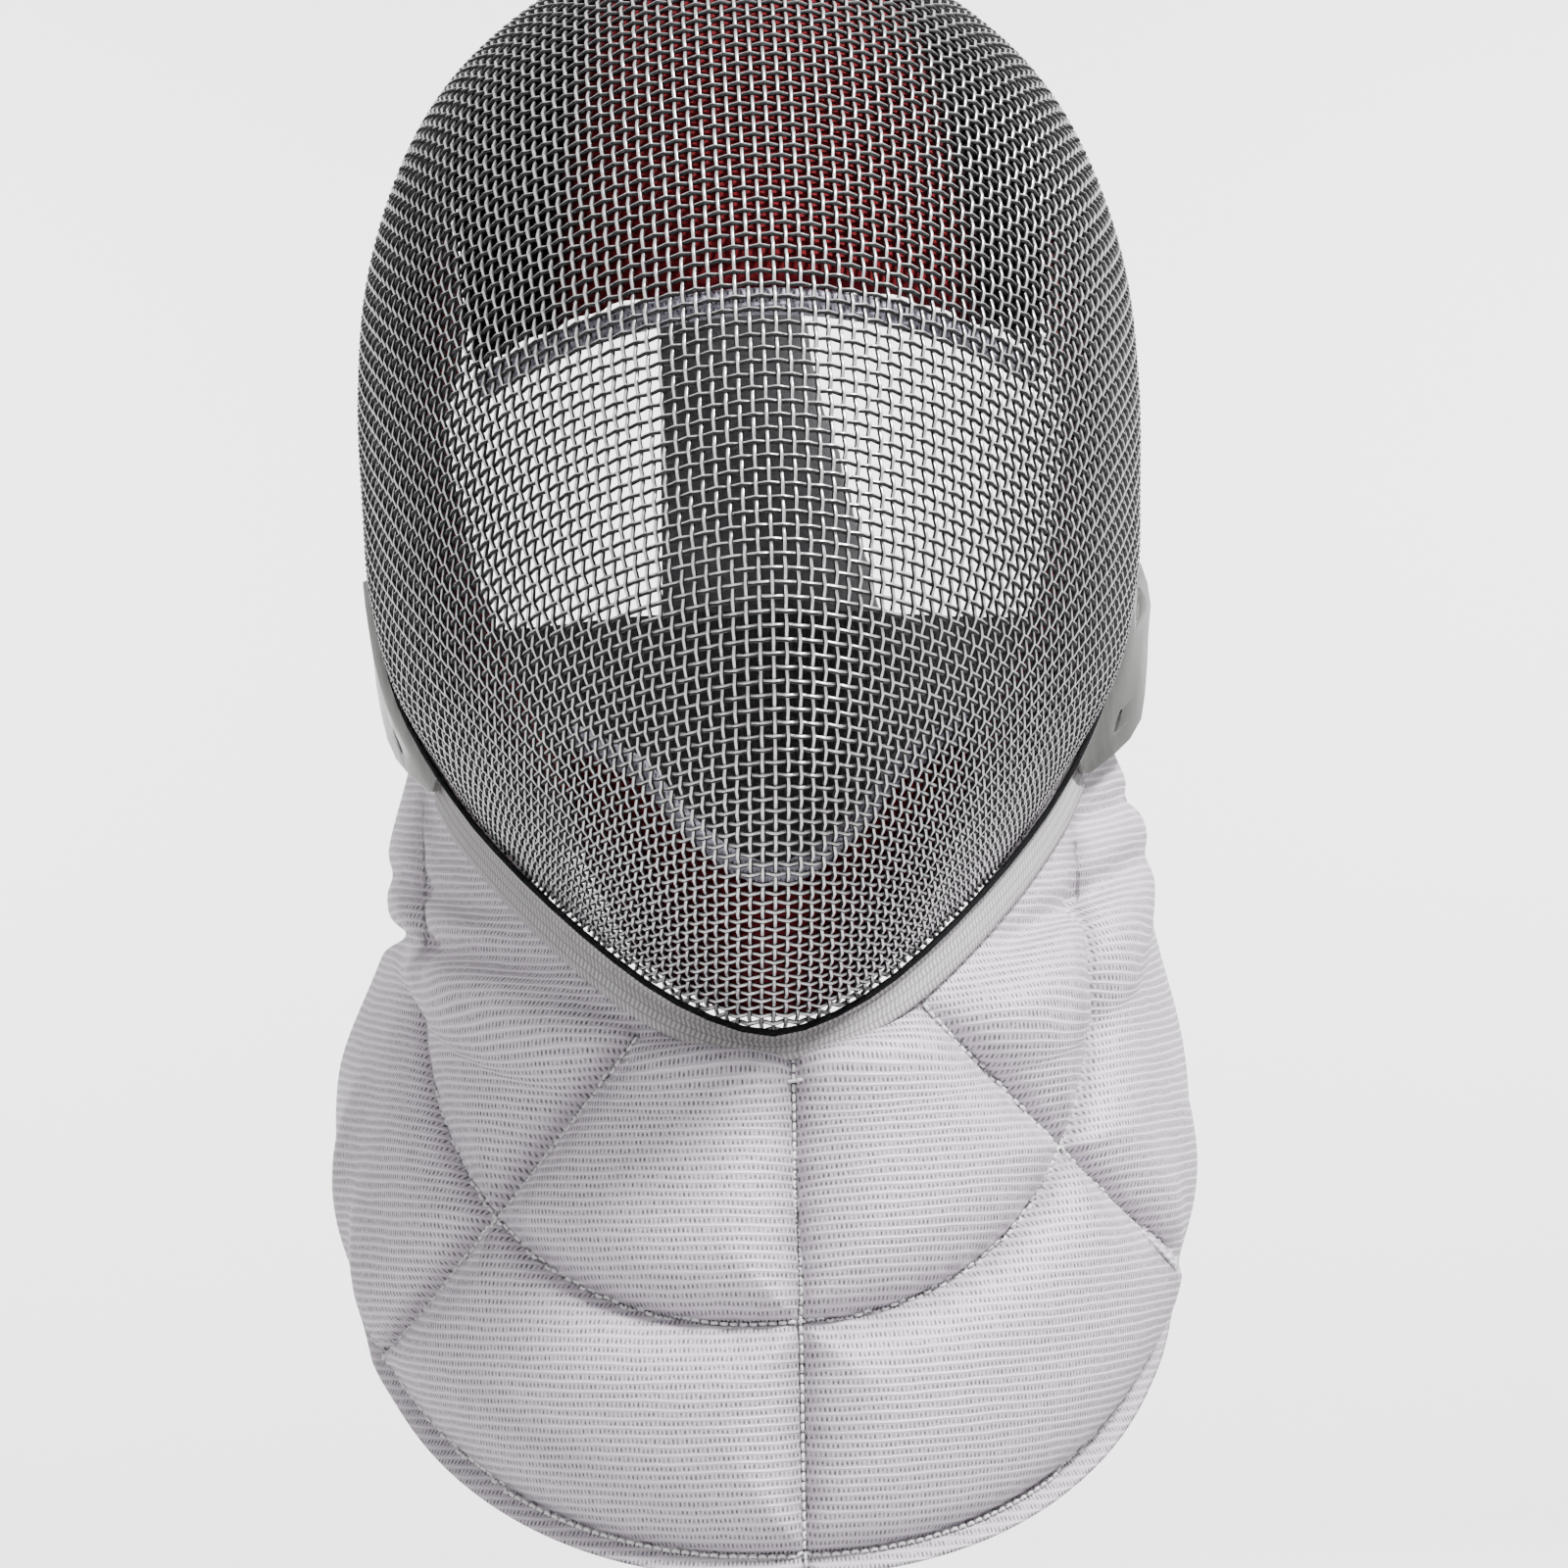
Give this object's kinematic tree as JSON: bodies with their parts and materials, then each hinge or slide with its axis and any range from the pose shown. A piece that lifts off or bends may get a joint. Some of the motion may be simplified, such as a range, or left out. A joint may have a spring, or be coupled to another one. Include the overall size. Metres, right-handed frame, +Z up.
{
  "type": "fencing mask",
  "caption": "Sabre fencing mask standing upright: woven steel wire dome, quilted silver cloth bib, red padded lining, steel side clips, spring tongue and a broad elastic back strap.",
  "frame": {"origin": "where the crown lining rests on the top of the head, inside the dome and 13.5 mm below its top", "axes": "-Y out of the face, +Z up towards the crown, +X to the right of someone who looks at the face"},
  "size_m": [0.2126, 0.2593, 0.3913],
  "materials": {
    "steel_wire": "bright woven wire",
    "steel_plate": "brushed sheet",
    "silver_cloth": "conductive silver woven cloth, quilted",
    "silver_tape": "silver grey woven tape",
    "red_lining": "red brushed lining cloth",
    "black_trim": "black bead",
    "black_webbing": "black elastic webbing",
    "grey_lining": "grey lining cloth"
  },
  "bodies": {
    "root": {"wire_dome": "steel_wire", "rim_tape": "silver_tape", "rim_binding": "silver_tape", "edge_piping": "black_trim", "bib": "silver_cloth", "clip_left": "steel_plate", "clip_right": "steel_plate", "forehead_pad": "red_lining", "forehead_binding": "silver_cloth", "side_pad_left": "red_lining", "side_pad_right": "red_lining", "chin_pad": "red_lining", "chin_binding": "silver_cloth", "tongue": "grey_lining", "back_strap": "black_webbing"}
  },
  "joints": []
}
